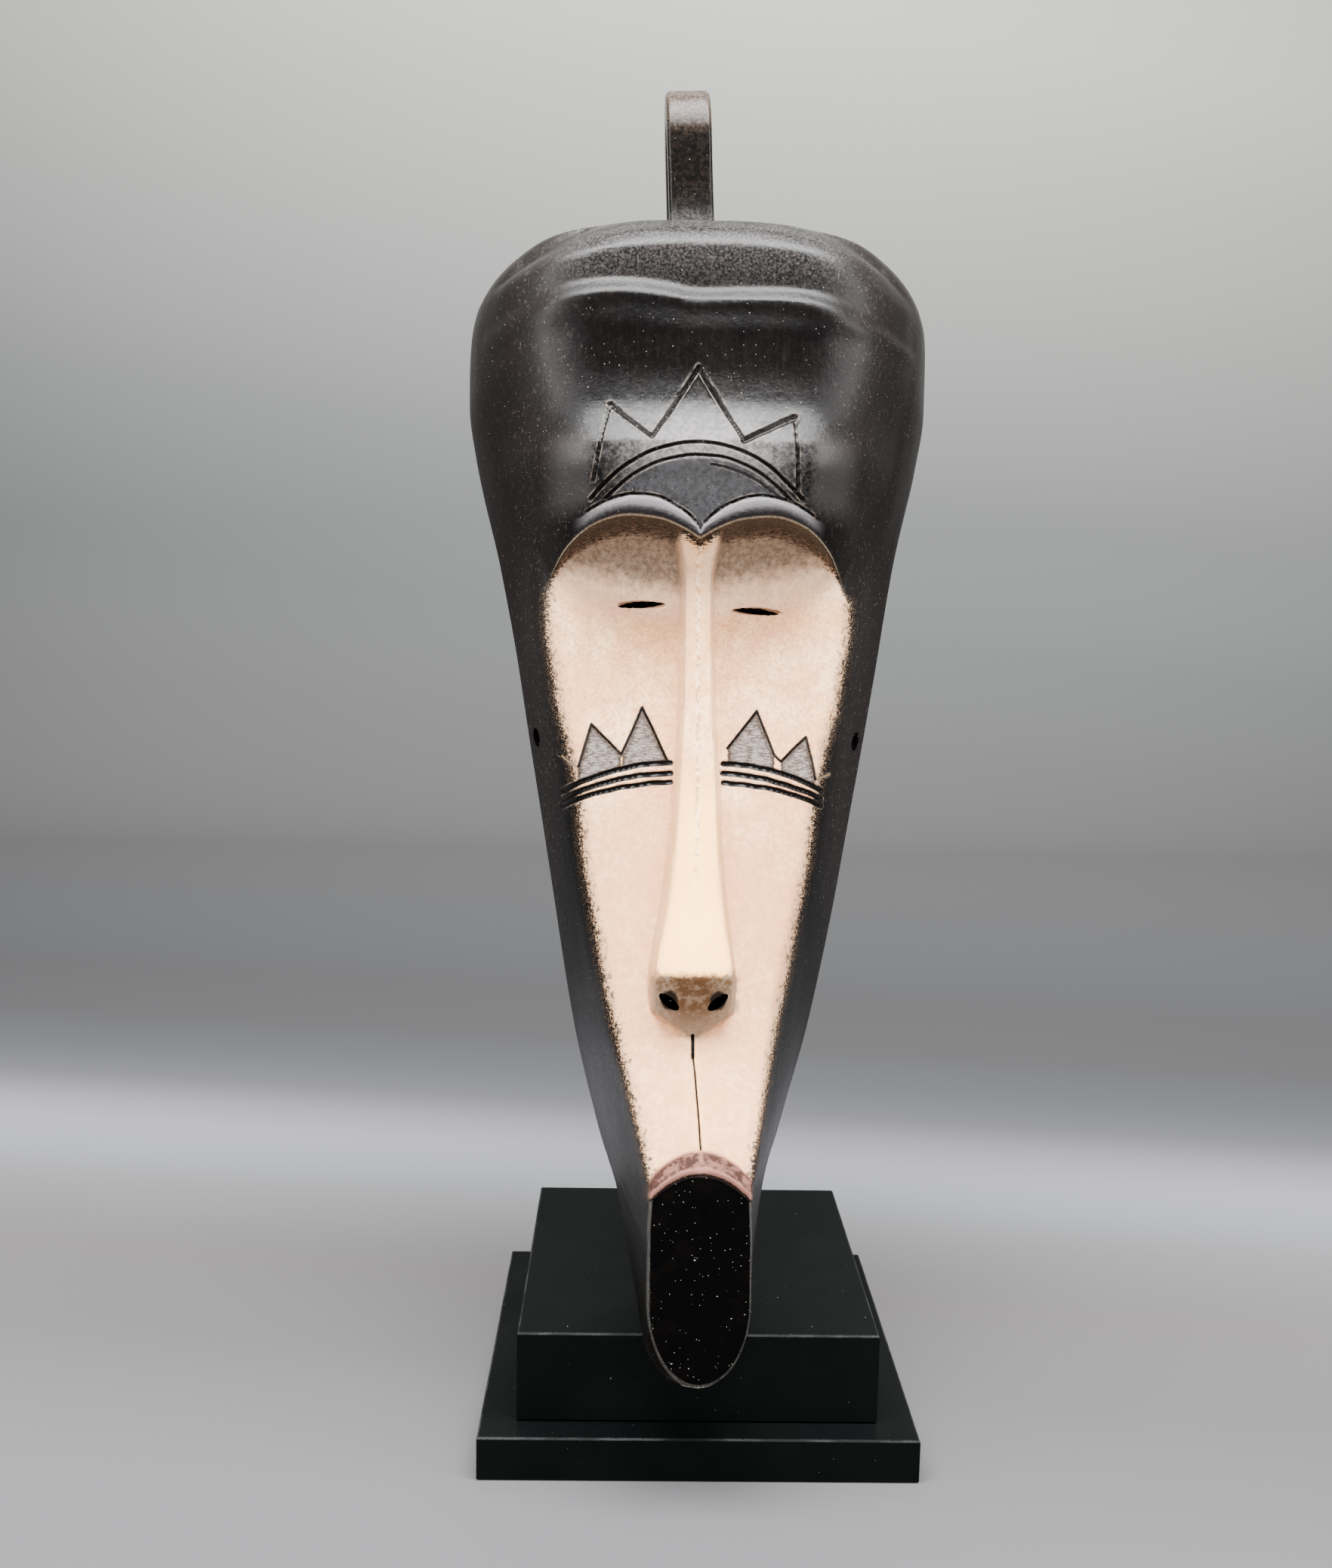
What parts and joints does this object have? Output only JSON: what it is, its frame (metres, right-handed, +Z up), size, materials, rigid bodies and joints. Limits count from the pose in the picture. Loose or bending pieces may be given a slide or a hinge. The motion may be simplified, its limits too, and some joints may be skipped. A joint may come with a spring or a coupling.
{
  "type": "carved mask on stand",
  "caption": "Long narrow carved wooden face mask with a tall forehead, thin nose and loop handle, hollow behind, held by a rod over a two-step block stand.",
  "frame": {"origin": "middle of the stand's underside", "axes": "+Z up, the face looks along -Y, +X to the viewer's right"},
  "size_m": [0.2237, 0.2135, 0.6099],
  "materials": {
    "mask_wood": "polished black-brown crust, with a white clay face",
    "stand_black": "satin black paint",
    "rod_steel": "blackened"
  },
  "bodies": {
    "root": {"mask": "mask_wood", "stand_lower_board": "stand_black", "stand_upper_block": "stand_black", "support_rod": "rod_steel"}
  },
  "joints": []
}
